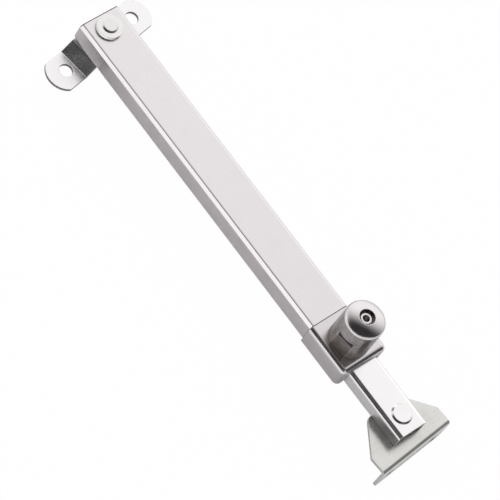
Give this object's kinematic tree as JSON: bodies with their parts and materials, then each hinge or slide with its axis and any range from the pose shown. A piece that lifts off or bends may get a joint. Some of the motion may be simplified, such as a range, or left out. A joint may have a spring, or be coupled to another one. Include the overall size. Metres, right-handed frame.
{
  "type": "window opening restrictor",
  "caption": "Telescopic window restrictor: a bar slides in a folded channel, a key lock on a pressed collar pins it, and a pivoting bracket at each end takes screws.",
  "frame": {"origin": "centre between the two screw holes of the frame bracket, on its face against the window frame, on the frame pivot's axis", "axes": "+Z away from the window frame along the pivots, +X along the arm from the frame pivot to the sash pivot"},
  "size_m": [0.2411, 0.0624, 0.0471],
  "materials": {
    "stainless": "fine brushed",
    "stainless_dark": "fine brushed",
    "chrome": "polished",
    "plug_nickel": "satin nickel",
    "spring_steel": "drawn wire",
    "acetal": "moulded"
  },
  "bodies": {
    "frame": {"frame_bracket": "stainless_dark", "frame_bush": "acetal", "frame_washer": "stainless", "frame_rivet": "stainless"},
    "arm": {"outer_channel": "stainless", "collar": "stainless", "front_guide": "acetal", "lock_housing": "chrome", "lock_cap": "chrome", "plunger_spring": "spring_steel"},
    "plug": {"lock_plug": "plug_nickel", "key_post": "plug_nickel"},
    "plunger": {"lock_plunger": "plug_nickel"},
    "bar": {"inner_bar": "stainless", "rear_slider": "acetal", "slider_pin": "stainless", "sash_rivet": "stainless", "sash_bush": "acetal", "sash_washer": "stainless"},
    "sash": {"sash_bracket": "stainless"}
  },
  "joints": [
    {"name": "frame_pivot", "type": "hinge", "parent": "frame", "child": "arm", "pos_m": [0, 0, 0.0163], "axis": [0, 0, 1], "range_deg": [-81.5, 98.5]},
    {"name": "bar_slide", "type": "slide", "parent": "arm", "child": "bar", "axis": [1, 0, 0], "range_m": [0, 0.14]},
    {"name": "sash_pivot", "type": "hinge", "parent": "bar", "child": "sash", "pos_m": [0.2125, 0, 0.0068], "axis": [0, 0, 1], "range_deg": [-94.2, 85.8]},
    {"name": "lock_turn", "type": "hinge", "parent": "arm", "child": "plug", "pos_m": [0.1733, 0, 0.036], "axis": [0, 0, 1], "range_deg": [0, 90]},
    {"name": "plunger_drop", "type": "slide", "parent": "arm", "child": "plunger", "axis": [0, 0, -1], "range_m": [0, 0.004], "stiffness_N_per_m": 100, "springref_m": -0.006, "deforming": ["plunger_spring"]}
  ],
  "couplings": [
    {"joint": "lock_turn", "follows": "plunger_drop", "rad_per_m": 392.7}
  ]
}
